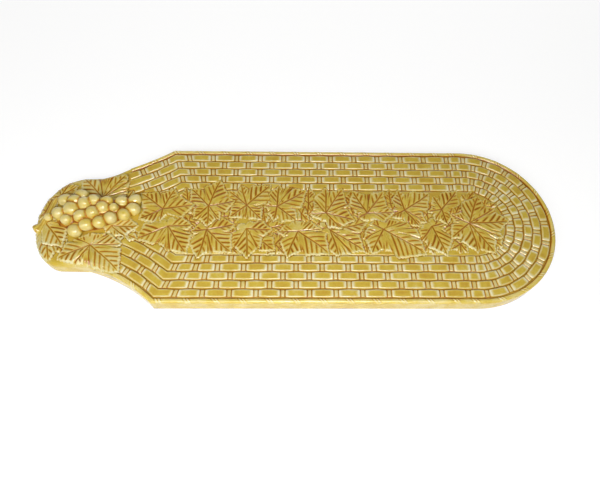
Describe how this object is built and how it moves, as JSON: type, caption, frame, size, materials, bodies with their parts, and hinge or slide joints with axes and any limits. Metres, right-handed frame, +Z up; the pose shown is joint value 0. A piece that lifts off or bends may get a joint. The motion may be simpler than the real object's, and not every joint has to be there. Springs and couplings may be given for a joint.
{
  "type": "cheese board",
  "caption": "Long glazed earthenware cheese board with a rounded end, a basketwork border, vine leaves pressed down the middle and a handle under a bunch of grapes.",
  "frame": {"origin": "on the table under the middle of the board's box", "axes": "+X from the handle to the rounded end, +Z up, so -Y is the near long side in the picture"},
  "size_m": [0.42, 0.1404, 0.0279],
  "materials": {
    "honey_glaze": "gloss",
    "pale_glaze": "gloss",
    "leaf_glaze": "gloss"
  },
  "bodies": {
    "root": {"slab": "honey_glaze", "rim_cane": "pale_glaze", "weave_course_1": "honey_glaze", "weave_course_2": "honey_glaze", "weave_course_3": "honey_glaze", "weave_course_4": "honey_glaze", "weave_course_5": "honey_glaze", "band_leaf_01": "leaf_glaze", "band_leaf_02": "leaf_glaze", "band_leaf_03": "leaf_glaze", "band_leaf_04": "leaf_glaze", "band_leaf_05": "leaf_glaze", "band_leaf_06": "leaf_glaze", "band_leaf_07": "leaf_glaze", "band_leaf_08": "leaf_glaze", "band_leaf_09": "leaf_glaze", "band_leaf_10": "leaf_glaze", "band_leaf_11": "leaf_glaze", "band_leaf_12": "leaf_glaze", "band_leaf_13": "leaf_glaze", "band_leaf_14": "leaf_glaze", "band_leaf_15": "leaf_glaze", "band_leaf_16": "leaf_glaze", "band_leaf_17": "leaf_glaze", "band_leaf_18": "leaf_glaze", "band_leaf_19": "leaf_glaze", "band_leaf_20": "leaf_glaze", "band_leaf_21": "leaf_glaze", "band_leaf_22": "leaf_glaze", "band_leaf_23": "leaf_glaze", "band_leaf_24": "leaf_glaze", "band_leaf_25": "leaf_glaze", "band_leaf_26": "leaf_glaze", "band_leaf_27": "leaf_glaze", "band_leaf_28": "leaf_glaze", "band_leaf_29": "leaf_glaze", "band_leaf_30": "leaf_glaze", "band_leaf_31": "leaf_glaze", "band_leaf_32": "leaf_glaze", "band_leaf_33": "leaf_glaze", "band_leaf_34": "leaf_glaze", "band_leaf_35": "leaf_glaze", "band_leaf_36": "leaf_glaze", "band_leaf_37": "leaf_glaze", "band_leaf_38": "leaf_glaze", "band_leaf_39": "leaf_glaze", "handle_leaf_01": "leaf_glaze", "handle_leaf_02": "leaf_glaze", "handle_leaf_03": "leaf_glaze", "handle_leaf_04": "leaf_glaze", "handle_leaf_05": "leaf_glaze", "handle_leaf_06": "leaf_glaze", "handle_leaf_07": "leaf_glaze", "handle_leaf_08": "leaf_glaze", "handle_leaf_09": "leaf_glaze", "vine_stem": "pale_glaze", "grape_bunch": "pale_glaze"}
  },
  "joints": []
}
